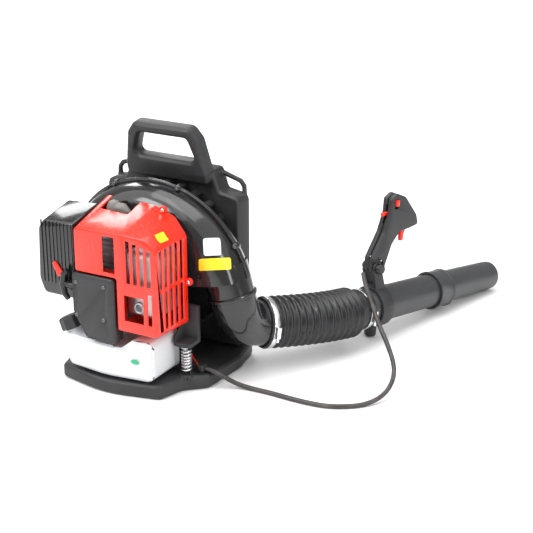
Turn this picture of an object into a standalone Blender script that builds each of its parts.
"""Backpack petrol leaf blower, standing on its base with the blower tube lying out behind it.

Frame: metres, +Z up, origin under the middle of the base.  -Y is the engine side, +Y the side
that the wearer's back rests on, +X the side of the blower tube.
"""
import math

import bmesh
import bpy
from mathutils import Matrix, Vector

MM = 0.001

# Clearances
SEAT_GAP = 0.3 * MM          # between faces that rest on each other
RUN_GAP = 0.8 * MM           # round a piece that turns or slides

# Base and back of the carrying frame
BASE_HEIGHT = 30 * MM
BASE_HALF_WIDTH = 180 * MM
BASE_FRONT = -148 * MM
BASE_BACK = 166 * MM
BASE_RIB = 5 * MM
BASE_CELL = 80 * MM
BASE_DECK = 4 * MM
TRAY_HALF_WIDTH = 158 * MM
TRAY_FRONT = 115 * MM
TRAY_BACK = 162 * MM
TRAY_TOP = 352 * MM
TRAY_WALL = 4 * MM
TRAY_NECK_TOP = 402 * MM
TRAY_NECK_HALF_WIDTH = 98 * MM
CARRY_HANDLE_RISE = 98 * MM
CARRY_HANDLE_DEPTH = 34 * MM
CARRY_HANDLE_LEAN = math.radians(10)
CARRY_HANDLE_BAR = 22 * MM
LOOP_ROD = 5.5 * MM
PAD_THICKNESS = 22 * MM

# Anti-vibration mounts
SPRING_X = 131 * MM
SPRING_Y = -46 * MM
SPRING_COIL = 12.5 * MM
SPRING_WIRE = 1.9 * MM
SPRING_HEIGHT = 60 * MM
SPRING_TURNS = 8
SPRING_SEAT = 3 * MM
REAR_MOUNT_RADIUS = 11 * MM
REAR_MOUNT_Y = 62 * MM
REAR_MOUNT_SPREAD = 70 * MM
REAR_MOUNT_HEIGHT = 18 * MM

# Crankshaft line and fan housing (a log spiral round the crankshaft)
CRANK_X = -20 * MM
CRANK_Z = 180 * MM
SCROLL_START = 122 * MM
SCROLL_GROWTH = 0.1266       # radius grows by this share of itself for each radian
SCROLL_START_ANGLE = math.radians(-35)
SCROLL_SWEEP = math.radians(315)
HOUSING_FRONT = -20 * MM
HOUSING_SPLIT = 39 * MM
HOUSING_BACK = 85 * MM
HOUSING_WALL = 3 * MM
HOUSING_SHAFT_HOLE = 16 * MM
INLET_RADIUS = 76 * MM
FLANGE_WIDTH = 7 * MM
FLANGE_DEPTH = 9 * MM
BOSS_RADIUS = 7 * MM
DUCT_RADIUS = 46 * MM
DUCT_END = Vector((186, 39, 183)) * MM
DUCT_LEAN = math.radians(16)
IMPELLER_CLEARANCE = 10 * MM
IMPELLER_BLADES = 10
GUARD_X = 0 * MM
GUARD_Z = 215 * MM
GUARD_RADIUS = 158 * MM
GUARD_FINS = 28

# Outlet elbow and flexible hose
ELBOW_END = Vector((222, 124, 98)) * MM
ELBOW_END_YAW = math.radians(33)
ELBOW_END_DROP = math.radians(8)
ELBOW_GROWTH = 0.6 * MM
ELBOW_CUFF = 20 * MM
HOSE_WALL = 3 * MM
HOSE_RIB = 54 * MM
HOSE_VALLEY = 47.5 * MM
HOSE_RIBS = 13
CLAMP_BAND = 2 * MM
CLAMP_WIDTH = 11 * MM

# Blower tube
PIPE_START = Vector((318, 304, 75)) * MM
PIPE_YAW = math.radians(17.2)
PIPE_DROP = math.radians(5.04)
PIPE_RADIUS = 38.3 * MM
PIPE_WALL = 2.2 * MM
PIPE_LENGTH = 292 * MM
NOZZLE_OVERLAP = 34 * MM
NOZZLE_LENGTH = 221 * MM
NOZZLE_TIP_RADIUS = 31.5 * MM
CUFF_LENGTH = 42 * MM
BRACKET_AT = 58 * MM
BRACKET_WIDTH = 34 * MM
BRACKET_WALL = 7 * MM

# Control handle, in the plane of the tube
HANDLE_RISE = 90 * MM
HANDLE_AT = 59 * MM
HANDLE_HALF_WIDTH = 14 * MM
HANDLE_SHELL = 2.6 * MM
LUG_HALF_WIDTH = 11 * MM
FORK_CHEEK = 5 * MM
TILT_BOLT_RADIUS = 3.5 * MM
TRIGGER_HALF_WIDTH = 4.5 * MM
TRIGGER_PIVOT = (88 * MM, 82 * MM)
CRUISE_PIVOT = (44 * MM, 112 * MM)
SWITCH_SPOT = (47 * MM, 136 * MM)
SWITCH_TRAVEL = 5 * MM

# Engine
CYLINDER_Y = -58 * MM
CYLINDER_TOP = 326 * MM
CYLINDER_FIN_HALF = 31 * MM
CYLINDER_FINS = 9
CRANKCASE_RADIUS = 44 * MM
CRANKCASE_FRONT = -92 * MM
CRANKCASE_BACK = -24 * MM
BORE_RADIUS = 22 * MM
SHAFT_RADIUS = 6 * MM
FLYWHEEL_RADIUS = 46 * MM
PULLEY_RADIUS = 26 * MM
COVER_FRONT = -146 * MM
COVER_BACK = -35 * MM
COVER_RIGHT = 131 * MM
COVER_LEFT = -55 * MM
COVER_TOP = 338 * MM
COVER_ROOF_RISE = 34 * MM
COVER_WALL = 3 * MM
COVER_LOW = 143 * MM
STARTER_TOP = 245 * MM
STARTER_LOW = 112 * MM
STARTER_RIGHT = 36 * MM
STARTER_LEFT = -63 * MM
STARTER_FRONT = -150 * MM
STARTER_DEPTH = 32 * MM

# Intake
CLEANER_LEFT = -160 * MM
CLEANER_RIGHT = -69 * MM
CLEANER_LOW = 178 * MM
CLEANER_TOP = 335 * MM
CLEANER_FRONT = -126 * MM
CLEANER_BACK = -38 * MM
CLEANER_WALL = 3 * MM
CARB_Z = 272 * MM
CHOKE_PIVOT = Vector((-104, -129, 226)) * MM
PRIMER_RADIUS = 11 * MM
PRIMER_TRAVEL = 5 * MM

# Fuel tank
TANK_LEFT = -100 * MM
TANK_RIGHT = 105 * MM
TANK_LOW = 38 * MM
TANK_TOP = 101 * MM
TANK_HIGH = 120 * MM
TANK_FRONT = -137 * MM
TANK_BACK = -32 * MM
TANK_WALL = 3 * MM
NECK_RADIUS = 17 * MM
NECK_BASE = Vector((-84, -104, 86)) * MM
NECK_LEAN = math.radians(24)
NECK_LENGTH = 44 * MM
CAP_RADIUS = 25 * MM
CAP_HEIGHT = 25 * MM
CAP_LOBES = 8

# Sides of the round pieces
HOSE_SIDES = 14
BAND_SIDES = 20

# Throttle cable: points on its route, from the base to the control handle
CABLE_RADIUS = 4.7 * MM
CABLE_STEP = 22 * MM
CABLE_ROUTE = (
    (158, -19, 38), (174, -18, 36), (192, -12, 27), (214, -2, 13), (242, 5, 5.5), (292, 6, 5),
    (350, 3, 5), (402, 6, 5), (440, 21, 5), (474, 50, 5.5), (494, 88, 13), (497, 125, 28),
    (484, 160, 46), (452, 199, 69), (414, 237, 94), (374, 283, 122), (346, 317, 139),
    (331, 338, 153),
)
CABLE_FIRST_CUT = 0.56
CABLE_SECOND_CUT = 0.90

# Colour, roughness, metallic
BLACK_PLASTIC = ((0.022, 0.022, 0.024), 0.45, 0.0)
GLOSS_BLACK = ((0.010, 0.010, 0.011), 0.18, 0.0)
GREY_PLASTIC = ((0.055, 0.056, 0.058), 0.40, 0.0)
RED_PLASTIC = ((0.83, 0.035, 0.010), 0.28, 0.0)
TANK_WHITE = ((0.82, 0.83, 0.84), 0.35, 0.0)
BLACK_RUBBER = ((0.015, 0.015, 0.016), 0.65, 0.0)
CAST_METAL = ((0.48, 0.49, 0.50), 0.45, 1.0)
BRIGHT_STEEL = ((0.72, 0.72, 0.73), 0.22, 1.0)
DARK_STEEL = ((0.12, 0.12, 0.13), 0.40, 1.0)
FOAM_BLACK = ((0.03, 0.03, 0.03), 0.95, 0.0)
CERAMIC_WHITE = ((0.85, 0.85, 0.83), 0.25, 0.0)
CLEAR_BULB = ((0.55, 0.58, 0.55), 0.20, 0.0)
BRIGHT_RED = ((0.80, 0.012, 0.012), 0.35, 0.0)


# ---------------------------------------------------------------- shapes

def rounded(corners, steps=3):
    """Outline through (a, b, radius) corners, with each corner turned into an arc."""
    points = []
    for index, (a, b, radius) in enumerate(corners):
        here = Vector((a, b))
        before = Vector(corners[index - 1][:2]) - here
        after = Vector(corners[(index + 1) % len(corners)][:2]) - here
        if radius == 0:
            points.append(here)
            continue
        half = before.angle(after) / 2
        reach = min(radius / math.tan(half), 0.48 * before.length, 0.48 * after.length)
        middle = (before.normalized() + after.normalized()).normalized()
        centre = here + middle * reach / math.cos(half)
        start = here + before.normalized() * reach - centre
        end = here + after.normalized() * reach - centre
        first = math.atan2(start.y, start.x)
        sweep = math.remainder(math.atan2(end.y, end.x) - first, 2 * math.pi)
        for step in range(steps + 1):
            angle = first + sweep * step / steps
            points.append(centre + Vector((math.cos(angle), math.sin(angle))) * start.length)
    return points


def mirrored(half):
    """Full corner list from the corners of its right half, listed from the top round."""
    left = [(-a, b, radius) for a, b, radius in reversed(half) if a != 0]
    return half + left


def area(outline):
    """Signed area of a flat outline."""
    total = 0.0
    for index, point in enumerate(outline):
        other = outline[(index + 1) % len(outline)]
        total += point[0] * other[1] - other[0] * point[1]
    return total / 2


def offset(outline, distance):
    """Outline moved outwards by a distance, or inwards by a negative one."""
    sign = 1 if area(outline) > 0 else -1
    moved = []
    for index, point in enumerate(outline):
        here = Vector(point)
        arrive = (here - Vector(outline[index - 1])).normalized()
        leave = (Vector(outline[(index + 1) % len(outline)]) - here).normalized()
        first = Vector((arrive.y, -arrive.x)) * sign
        second = Vector((leave.y, -leave.x)) * sign
        middle = (first + second).normalized()
        moved.append(here + middle * distance / max(middle.dot(first), 0.5))
    return moved


def around(radius, sides):
    """Corner radius of a many-sided bore that clears a round piece."""
    return radius / math.cos(math.pi / sides)


def lift(point, height, axis):
    """Point of a flat outline, placed at a height along the axis that it is square to."""
    if axis == "X":
        return Vector((height, point[0], point[1]))
    if axis == "Y":
        return Vector((point[0], height, point[1]))
    return Vector((point[0], point[1], height))


def circle(radius, sides, centre=(0, 0)):
    """Round outline."""
    turn = 2 * math.pi / sides
    return [Vector((centre[0] + radius * math.cos(turn * i), centre[1] + radius * math.sin(turn * i)))
            for i in range(sides)]


def loft(rings, closed=False):
    """Skin over a row of equal rings, capped at its ends or joined into a loop."""
    shape = bmesh.new()
    rows = [[shape.verts.new(point) for point in ring] for ring in rings]
    pairs = list(zip(rows, rows[1:]))
    if closed:
        pairs.append((rows[-1], rows[0]))
    for near, far in pairs:
        for i in range(len(near)):
            j = (i + 1) % len(near)
            shape.faces.new((near[i], near[j], far[j], far[i]))
    if not closed:
        shape.faces.new(rows[0])
        shape.faces.new(rows[-1])
    bmesh.ops.recalc_face_normals(shape, faces=shape.faces)
    twisted = [face for face in shape.faces if is_twisted(face)]
    bmesh.ops.triangulate(shape, faces=twisted)
    return shape


def is_twisted(face):
    """Whether a four-sided face has corners off its own plane."""
    if len(face.verts) != 4:
        return False
    a, b, c, d = (corner.co for corner in face.verts)
    normal = (b - a).cross(c - a)
    return abs(normal.normalized().dot(d - a)) > 0.001 * MM


def prism(outline, low, high, axis="Z"):
    """Outline pulled out along an axis."""
    return loft([[lift(point, height, axis) for point in outline] for height in (low, high)])


def turned(profile, sides=24, axis="Y", closed=False):
    """Solid of revolution from (radius, height) points."""
    rings = [[lift(point, height, axis) for point in circle(radius, sides)]
             for radius, height in profile]
    return loft(rings, closed)


def block(low, high):
    """Box between two corners."""
    outline = [(low[0], low[1]), (high[0], low[1]), (high[0], high[1]), (low[0], high[1])]
    return prism(outline, low[2], high[2])


def open_shell(front, back, near, far, wall):
    """Moulded cover, closed and rounded at its front outline and open at its back one."""
    depths = (
        (front, -wall, near), (front, -0.3 * wall, near + 0.3 * wall), (front, 0, near + wall),
        (back, 0, far), (back, -wall, far), (front, -wall, near + wall),
    )
    return loft([[lift(point, y, "Y") for point in (offset(outline, move) if move else outline)]
                 for outline, move, y in depths])


def merged(shapes):
    """One mesh that holds several separate shapes."""
    whole = bmesh.new()
    for shape in shapes:
        mesh = bpy.data.meshes.new("loose")
        shape.to_mesh(mesh)
        shape.free()
        whole.from_mesh(mesh)
        bpy.data.meshes.remove(mesh)
    return whole


def bezier(start, start_aim, end_aim, end, count):
    """Points and directions along a cubic curve."""
    points = []
    aims = []
    for index in range(count):
        t = index / (count - 1)
        s = 1 - t
        points.append(start * s ** 3 + start_aim * 3 * s * s * t
                      + end_aim * 3 * s * t * t + end * t ** 3)
        aim = (start_aim - start) * s * s + (end_aim - start_aim) * 2 * s * t + (end - end_aim) * t * t
        aims.append(aim.normalized())
    return points, aims


def rings_along(points, aims, radii, sides):
    """Circles square to a path, carried along it without a twist."""
    rings = []
    side = aims[0].orthogonal().normalized()
    for point, aim, radius in zip(points, aims, radii):
        side = (side - aim * side.dot(aim)).normalized()
        other = aim.cross(side)
        rings.append([point + side * p.x + other * p.y for p in circle(radius, sides)])
    return rings


def smooth_route(route, step):
    """Evenly spaced points on a smooth curve through a route's own points."""
    knots = [Vector(point) * MM for point in route]
    knots = [knots[0] * 2 - knots[1]] + knots + [knots[-1] * 2 - knots[-2]]
    fine = []
    for a, b, c, d in zip(knots, knots[1:], knots[2:], knots[3:]):
        for index in range(24):
            t = index / 24
            fine.append(0.5 * (2 * b + (c - a) * t + (2 * a - 5 * b + 4 * c - d) * t * t
                               + (3 * b - a - 3 * c + d) * t ** 3))
    fine.append(knots[-2])
    gone = [0.0]
    for near, far in zip(fine, fine[1:]):
        gone.append(gone[-1] + (far - near).length)
    count = round(gone[-1] / step)
    points = []
    index = 0
    for number in range(count + 1):
        want = gone[-1] * number / count
        while index < len(gone) - 2 and gone[index + 1] < want:
            index += 1
        share = (want - gone[index]) / (gone[index + 1] - gone[index])
        points.append(fine[index].lerp(fine[index + 1], share))
    return points


# ---------------------------------------------------------------- objects

def link(name, data, holder):
    """New object in the scene, hung from its holder."""
    item = bpy.data.objects.new(name, data)
    bpy.context.scene.collection.objects.link(item)
    item.parent = holder
    return item


def frame(name, origin, along=(0, 1, 0), up=(0, 0, 1), holder=None):
    """Empty whose Y points along a direction and whose Z leans towards another."""
    y = Vector(along).normalized()
    x = y.cross(Vector(up)).normalized()
    z = x.cross(y)
    empty = link(name, None, holder)
    turn = Matrix((x, y, z)).transposed().to_4x4()
    empty.matrix_basis = Matrix.Translation(Vector(origin)) @ turn
    return empty


def as_mesh(name, shape):
    """Mesh with rounded faces shaded smooth and its corners kept sharp."""
    mesh = bpy.data.meshes.new(name)
    shape.to_mesh(mesh)
    shape.free()
    mesh.shade_smooth()
    mesh.set_sharp_from_angle(angle=math.radians(35))
    return mesh


def dress(item, look):
    """Give a piece a material of its own."""
    colour, roughness, metallic = look
    material = bpy.data.materials.new(item.name + "_material")
    material.use_nodes = True
    shader = material.node_tree.nodes["Principled BSDF"]
    shader.inputs["Base Color"].default_value = (*colour, 1.0)
    shader.inputs["Roughness"].default_value = roughness
    shader.inputs["Metallic"].default_value = metallic
    item.data.materials.append(material)


def piece(name, shape, look, holder=None):
    """Named sub-part of the blower."""
    item = link(name, as_mesh(name, shape), holder)
    dress(item, look)
    return item


def guide(name, shape, holder=None):
    """Shape that only cuts or adds to a piece."""
    item = link(name, as_mesh(name, shape), holder)
    item.hide_render = True
    item.display_type = "WIRE"
    return item


def combine(item, tool, operation):
    """Boolean step on a piece."""
    step = item.modifiers.new(tool.name, "BOOLEAN")
    step.operation = operation
    step.solver = "EXACT"
    step.object = tool


def cut(item, *tools):
    """Take the tools' shapes out of a piece."""
    for tool in tools:
        combine(item, tool, "DIFFERENCE")


def fuse(item, *tools):
    """Join the tools' shapes to a piece."""
    for tool in tools:
        combine(item, tool, "UNION")


def bevel(item, width, segments=2, angle=50):
    """Round the edges that are sharper than an angle."""
    step = item.modifiers.new("rounded_edges", "BEVEL")
    step.width = width
    step.segments = segments
    step.limit_method = "ANGLE"
    step.angle_limit = math.radians(angle)


def flatten(item):
    """Turn twisted faces into triangles, which the Boolean steps cut cleanly."""
    step = item.modifiers.new("flat_faces", "TRIANGULATE")
    step.min_vertices = 4


def polar(radius, angle):
    """Point at an angle round the crankshaft, as (x, z)."""
    return Vector((CRANK_X + radius * math.cos(angle), CRANK_Z + radius * math.sin(angle)))


def heading(yaw, drop):
    """Direction turned right from +Y by the yaw and then lowered by the drop."""
    level = math.cos(drop)
    return Vector((math.sin(yaw) * level, math.cos(yaw) * level, -math.sin(drop)))


# ---------------------------------------------------------------- carrying frame

def base_outline():
    """Plan of the base: bowed front, waist beside the springs and wide rear."""
    waist = SPRING_X + SPRING_COIL
    half = [
        (0, BASE_FRONT, 200 * MM),
        (waist - 27 * MM, BASE_FRONT + 26 * MM, 16 * MM),
        (waist - 11 * MM, SPRING_Y - 18 * MM, 34 * MM),
        (BASE_HALF_WIDTH - 8 * MM, SPRING_Y + 18 * MM, 26 * MM),
        (BASE_HALF_WIDTH, BASE_BACK - 82 * MM, 60 * MM),
        (TRAY_HALF_WIDTH + 4 * MM, BASE_BACK, 14 * MM),
    ]
    return rounded(mirrored(half), steps=3)


def build_base():
    """Floor part of the frame: a decked moulding with square cells open underneath."""
    base = piece("frame_base", prism(base_outline(), 0, BASE_HEIGHT), BLACK_PLASTIC)
    bevel(base, 5 * MM, 1, 60)
    cells = []
    low = BASE_RIB / 2
    for column in (-1, 0):
        for row in (-1, 0):
            x = low + column * (BASE_CELL + BASE_RIB)
            y = low + row * (BASE_CELL + BASE_RIB)
            cells.append(block((x, y, -10 * MM), (x + BASE_CELL, y + BASE_CELL, BASE_HEIGHT - BASE_DECK)))
    cut(base, guide("base_cells", merged(cells)))
    seats = []
    for side in (-1, 1):
        seat = circle(SPRING_COIL + 3 * MM, 14, (side * SPRING_X, SPRING_Y))
        seats.append(prism(seat, BASE_HEIGHT - 8 * MM, BASE_HEIGHT + SPRING_SEAT))
    fuse(base, guide("spring_seats", merged(seats)))


def tray_corners():
    """Front view of the back tray, with its neck up to the carrying handle."""
    return mirrored([
        (0, TRAY_NECK_TOP, 0),
        (TRAY_NECK_HALF_WIDTH, TRAY_NECK_TOP, 8 * MM),
        (TRAY_NECK_HALF_WIDTH + 14 * MM, TRAY_TOP + 8 * MM, 8 * MM),
        (TRAY_HALF_WIDTH, TRAY_TOP, 14 * MM),
        (TRAY_HALF_WIDTH, BASE_HEIGHT + 60 * MM, 60 * MM),
        (TRAY_HALF_WIDTH - 4 * MM, BASE_HEIGHT + SEAT_GAP, 0),
    ])


def build_tray():
    """Back of the frame: an open tray that holds the back pad, its handle and strap loops."""
    outline = rounded(tray_corners(), 2)
    tray = piece("frame_back", prism(outline, TRAY_FRONT, TRAY_BACK, "Y"), BLACK_PLASTIC)
    bevel(tray, 4 * MM, 1, 60)
    inner = offset(outline, -TRAY_WALL)
    cut(tray, guide("tray_hollow", prism(inner, TRAY_FRONT + TRAY_WALL, TRAY_BACK + 10 * MM, "Y")))
    fuse(tray, carry_handle())
    for side in (-1, 1):
        fuse(tray, strap_loop(side))


def carry_handle():
    """Carrying handle with a rounded opening, leaning over the fan housing."""
    foot = frame("carry_handle_frame", (0, TRAY_FRONT + 1 * MM, TRAY_NECK_TOP - 26 * MM),
                 up=(0, -math.sin(CARRY_HANDLE_LEAN), math.cos(CARRY_HANDLE_LEAN)),
                 along=(0, math.cos(CARRY_HANDLE_LEAN), math.sin(CARRY_HANDLE_LEAN)))
    rise = CARRY_HANDLE_RISE + 20 * MM
    wide = TRAY_NECK_HALF_WIDTH
    outer = rounded(mirrored([
        (0, rise, 0),
        (wide - 32 * MM, rise, 16 * MM),
        (wide - 14 * MM, rise - 24 * MM, 16 * MM),
        (wide, 22 * MM, 12 * MM),
        (wide - 2 * MM, 0, 0),
    ]))
    bar = CARRY_HANDLE_BAR
    hole = rounded(mirrored([
        (0, rise - bar, 0),
        (wide - 32 * MM - 0.5 * bar, rise - bar, 10 * MM),
        (wide - 4 * MM - bar, 46 * MM, 10 * MM),
        (0, 46 * MM, 0),
    ]))
    low = -CARRY_HANDLE_DEPTH / 2
    high = CARRY_HANDLE_DEPTH / 2
    handle = guide("carry_handle", prism(outer, low, high, "Y"), foot)
    cut(handle, guide("carry_handle_opening", prism(hole, low - MM, high + MM, "Y"), foot))
    bevel(handle, 6 * MM, 1, 60)
    return handle


def strap_loop(side):
    """Bent rod at one shoulder that the shoulder strap hangs from."""
    y = TRAY_BACK - LOOP_ROD - 4 * MM
    corners = [
        Vector((TRAY_NECK_HALF_WIDTH - 4 * MM, y, TRAY_NECK_TOP - 10 * MM)),
        Vector((TRAY_HALF_WIDTH - 16 * MM, y, TRAY_TOP + 26 * MM)),
        Vector((TRAY_HALF_WIDTH - 8 * MM, y, TRAY_TOP + 16 * MM)),
        Vector((TRAY_HALF_WIDTH - 7 * MM, y, TRAY_TOP - 8 * MM)),
    ]
    points = [Vector((side * corner.x, corner.y, corner.z)) for corner in corners]
    aims = [(far - near).normalized() for near, far in zip(points, points[1:])]
    aims = [aims[0], (aims[0] + aims[1]).normalized(), (aims[1] + aims[2]).normalized(), aims[2]]
    rings = rings_along(points, aims, [LOOP_ROD] * 4, 6)
    return guide("strap_loop_right" if side > 0 else "strap_loop_left", loft(rings))


def build_back_pad():
    """Cushion that lies in the tray against the wearer's back."""
    half = TRAY_HALF_WIDTH - 18 * MM
    corners = mirrored([
        (half, TRAY_TOP - 22 * MM, 30 * MM),
        (half, BASE_HEIGHT + 60 * MM, 40 * MM),
    ])
    low = TRAY_FRONT + TRAY_WALL + SEAT_GAP
    pad = piece("back_pad", prism(rounded(corners, 4), low, TRAY_BACK + PAD_THICKNESS - 10 * MM, "Y"),
                FOAM_BLACK)
    bevel(pad, 8 * MM, 1, 60)


# ---------------------------------------------------------------- mounts

def build_spring(side):
    """Coil spring between the base and the engine's mounting arm."""
    seat = BASE_HEIGHT + SPRING_SEAT + SEAT_GAP
    low = seat + SPRING_WIRE
    rise = SPRING_HEIGHT - 2 * SPRING_WIRE
    centre = Vector((side * SPRING_X, SPRING_Y, low))
    radius = SPRING_COIL - SPRING_WIRE
    count = SPRING_TURNS * 6
    points = []
    for index in range(count + 1):
        turn = 2 * math.pi * SPRING_TURNS * index / count
        spot = Vector((radius * math.cos(turn), radius * math.sin(turn), rise * index / count))
        points.append(centre + spot)
    aims = [(b - a).normalized() for a, b in zip(points, points[1:])]
    aims.append(aims[-1])
    name = "spring_right" if side > 0 else "spring_left"
    piece(name, loft(rings_along(points, aims, [SPRING_WIRE] * len(points), 4)), BRIGHT_STEEL)


def build_mount_arm(side):
    """Arm that carries the fan housing on one spring."""
    low = BASE_HEIGHT + SPRING_SEAT + SPRING_HEIGHT + 2 * SEAT_GAP
    inner = side * (TANK_RIGHT + 6 * MM)
    outer = side * (SPRING_X + SPRING_COIL + 5 * MM)
    back = HOUSING_FRONT - SEAT_GAP
    front = SPRING_Y - SPRING_COIL - 3 * MM
    left, right = min(inner, outer), max(inner, outer)
    name = "mount_arm_right" if side > 0 else "mount_arm_left"
    arm = piece(name, block((left, front, low), (right, back, low + 9 * MM)), BLACK_PLASTIC)
    plate = block((left, back - 9 * MM, low), (right, back, low + 78 * MM))
    rib_x = inner + side * 3 * MM
    rib_low, rib_high = min(inner, rib_x), max(inner, rib_x)
    web = rounded([(front, low, 0), (back, low, 0), (back, low + 40 * MM, 0),
                   (back - 14 * MM, low + 40 * MM, 0),
                   (front, low + 14 * MM, 0)])
    fuse(arm, guide(name + "_plate", plate), guide(name + "_web", prism(web, rib_low, rib_high, "X")))


def rear_mount_spots():
    """X of each rubber mount under the fan housing."""
    return {"left": CRANK_X - REAR_MOUNT_SPREAD, "right": CRANK_X + REAR_MOUNT_SPREAD}


def build_rear_mounts():
    """Rubber blocks between the base and the feet of the rear fan housing."""
    low = BASE_HEIGHT + SEAT_GAP
    high = low + REAR_MOUNT_HEIGHT
    waist = 0.75 * REAR_MOUNT_RADIUS
    profile = [(REAR_MOUNT_RADIUS, low), (REAR_MOUNT_RADIUS, low + 4 * MM), (waist, (low + high) / 2),
               (REAR_MOUNT_RADIUS, high - 4 * MM), (REAR_MOUNT_RADIUS, high)]
    for side, x in rear_mount_spots().items():
        spot = frame("rear_mount_" + side + "_frame", (x, REAR_MOUNT_Y, 0))
        piece("rear_mount_" + side, turned(profile, 16, "Z"), BLACK_RUBBER, spot)


# ---------------------------------------------------------------- fan housing

def scroll_radius(turn):
    """Inside of the rim, after a turn from the tongue over the bottom, left and top."""
    return SCROLL_START * math.exp(SCROLL_GROWTH * turn)


def scroll_turns():
    """Turns at which the scroll is drawn."""
    count = 18
    return [SCROLL_SWEEP * index / count for index in range(count + 1)]


def scroll_rings(shrink, front, back, front_hole, back_hole):
    """Sections of the scroll, each a closed outline square to its rim."""
    rings = []
    for turn in scroll_turns():
        rim = scroll_radius(turn) - shrink
        section = [
            (front_hole, front), (rim - 46 * MM, front), (rim - 20 * MM, front + 9 * MM),
            (rim - 5 * MM, front + 30 * MM), (rim, HOUSING_SPLIT), (rim - 7 * MM, back - 20 * MM),
            (rim - 34 * MM, back), (back_hole, back),
        ]
        angle = SCROLL_START_ANGLE - turn
        rings.append([lift(polar(radius, angle), y, "Y") for radius, y in section])
    return rings


def duct_shape(radius, above, below):
    """Straight round duct that leaves the scroll at its wide end."""
    down = Vector((math.sin(DUCT_LEAN), 0, -math.cos(DUCT_LEAN)))
    points = [DUCT_END - down * above, DUCT_END + down * below]
    return loft(rings_along(points, [down, down], [radius, radius], 20))


def rim_outline():
    """Front view of the housing's rim, from the tongue round to the duct."""
    points = [polar(scroll_radius(turn), SCROLL_START_ANGLE - turn) for turn in scroll_turns()]
    down = Vector((math.sin(DUCT_LEAN), -math.cos(DUCT_LEAN)))
    across = Vector((-down.y, down.x))
    end = Vector((DUCT_END.x, DUCT_END.z))
    points.append(end + across * DUCT_RADIUS)
    points.append(end - across * DUCT_RADIUS)
    return points


def boss_spots():
    """Places of the bosses round the rim, as (x, z)."""
    spots = []
    for share in (0.42, 0.56, 0.69, 0.82, 0.95):
        turn = SCROLL_SWEEP * share
        spots.append(polar(scroll_radius(turn) + 0.6 * FLANGE_WIDTH, SCROLL_START_ANGLE - turn))
    down = Vector((math.sin(DUCT_LEAN), -math.cos(DUCT_LEAN)))
    across = Vector((-down.y, down.x))
    end = Vector((DUCT_END.x, DUCT_END.z)) - down * 12 * MM
    spots.append(end + across * (DUCT_RADIUS + 0.8 * FLANGE_WIDTH))
    return spots


def build_housing_half(name, is_front):
    """One half of the fan housing, split at the rim."""
    shell = piece(name, loft(scroll_rings(0, HOUSING_FRONT, HOUSING_BACK, HOUSING_SHAFT_HOLE - MM,
                                          INLET_RADIUS), True),
                  GLOSS_BLACK)
    front = HOUSING_SPLIT - FLANGE_DEPTH / 2
    back = HOUSING_SPLIT + FLANGE_DEPTH / 2
    bosses = [prism(circle(BOSS_RADIUS, 8, spot), front - 4 * MM, back + 4 * MM,
                    "Y") for spot in boss_spots()]
    fuse(shell, guide(name + "_duct", duct_shape(DUCT_RADIUS, 62 * MM, 0)))
    fuse(shell, guide(name + "_flange", prism(offset(rim_outline(), FLANGE_WIDTH), front, back, "Y")))
    fuse(shell, guide(name + "_bosses", merged(bosses)))
    if not is_front:
        fuse(shell, guide(name + "_feet", merged(rear_feet())))
    wall = HOUSING_WALL
    hollow = scroll_rings(wall, HOUSING_FRONT + wall, HOUSING_BACK - wall, 4 * MM, 4 * MM)
    inside = guide(name + "_hollow", loft(hollow, True))
    core = prism(circle(HOUSING_SHAFT_HOLE, 16, (CRANK_X, CRANK_Z)), HOUSING_FRONT - MM, HOUSING_BACK + MM,
                 "Y")
    fuse(inside, guide(name + "_core", core))
    fuse(inside, guide(name + "_bore", duct_shape(DUCT_RADIUS - wall, 60 * MM, 10 * MM)))
    cut(shell, inside)
    far = 400 * MM
    if is_front:
        other = block((-far, HOUSING_SPLIT - SEAT_GAP / 2, -far), (far, far, far + CRANK_Z))
    else:
        other = block((-far, -far, -far), (far, HOUSING_SPLIT + SEAT_GAP / 2, far + CRANK_Z))
    cut(shell, guide(name + "_other_half", other))
    cut(shell, below_duct(name))


def rear_feet():
    """Feet of the rear housing that stand on the rubber mounts."""
    low = BASE_HEIGHT + 2 * SEAT_GAP + REAR_MOUNT_HEIGHT
    half = REAR_MOUNT_RADIUS
    return [block((x - half, REAR_MOUNT_Y - half, low), (x + half, REAR_MOUNT_Y + half, low + 44 * MM))
            for x in rear_mount_spots().values()]


def below_duct(name):
    """Space under the duct's end, where the flange stops."""
    holder = frame(name + "_duct_end_frame", DUCT_END, up=(-math.sin(DUCT_LEAN), 0, math.cos(DUCT_LEAN)))
    reach = DUCT_RADIUS + 2 * FLANGE_WIDTH
    low = (-reach - 2 * MM, -90 * MM, -60 * MM)
    return guide(name + "_below_duct", block(low, (reach + 4 * MM, 90 * MM, 0)), holder)


def build_guard():
    """Finned ring that keeps leaves out of the gap behind the fan housing."""
    low = HOUSING_BACK + SEAT_GAP
    high = TRAY_FRONT - SEAT_GAP
    holder = frame("inlet_guard_frame", (GUARD_X, 0, GUARD_Z))
    inner = GUARD_RADIUS - 6 * MM
    ring = turned([(GUARD_RADIUS, low), (GUARD_RADIUS, high), (inner, high), (inner, low)], GUARD_FINS, "Y",
                  True)
    guard = piece("inlet_guard", ring, BLACK_PLASTIC, holder)
    slots = []
    half = 0.3 * 2 * math.pi * GUARD_RADIUS / GUARD_FINS
    for index in range(GUARD_FINS):
        slot = block((inner - 3 * MM, low + 5 * MM, -half), (GUARD_RADIUS + 3 * MM, high + 5 * MM, half))
        turn = Matrix.Rotation(2 * math.pi * (index + 0.5) / GUARD_FINS, 4, "Y")
        bmesh.ops.transform(slot, matrix=turn, verts=slot.verts)
        slots.append(slot)
    cut(guard, guide("inlet_guard_slots", merged(slots), holder))


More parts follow.
